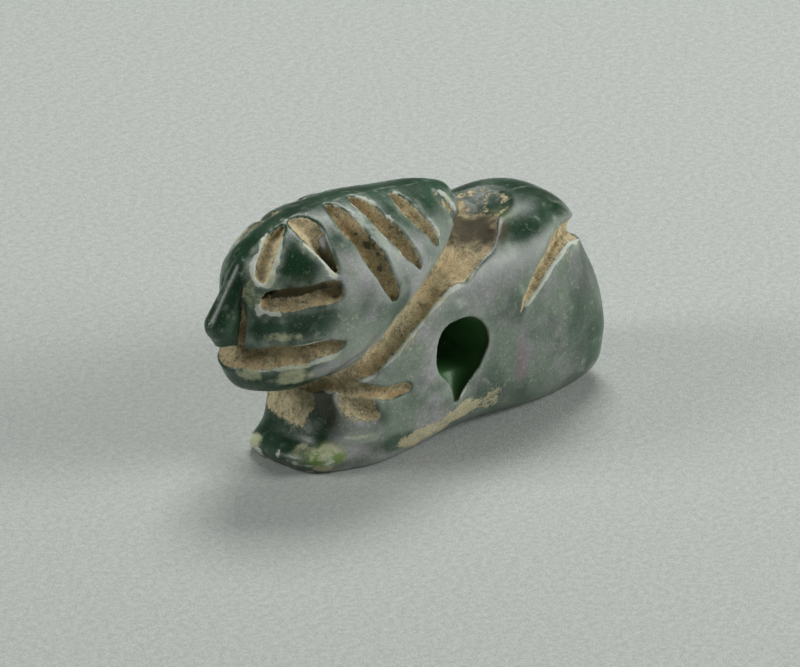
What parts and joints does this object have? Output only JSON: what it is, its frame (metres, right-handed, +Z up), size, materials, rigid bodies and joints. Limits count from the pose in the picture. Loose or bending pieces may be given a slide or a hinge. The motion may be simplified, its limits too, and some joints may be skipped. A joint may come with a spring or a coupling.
{
  "type": "sphinx amulet",
  "caption": "Small amulet carved from one piece of green stone as a crouching sphinx, with a large head, cut locks and features, and a bore from flank to flank.",
  "frame": {"origin": "middle of the bounding box's bottom face, on the flat underside", "axes": "+Z up, the face towards -X, the rump towards +X, the flank with the chipped bore towards -Y"},
  "size_m": [0.0136, 0.005, 0.0076],
  "materials": {
    "green_stone": "worn satin polish, mottled dark green, with pale worn edges and brown dirt in the cuts"
  },
  "bodies": {
    "root": {"sphinx_amulet": "green_stone"}
  },
  "joints": []
}
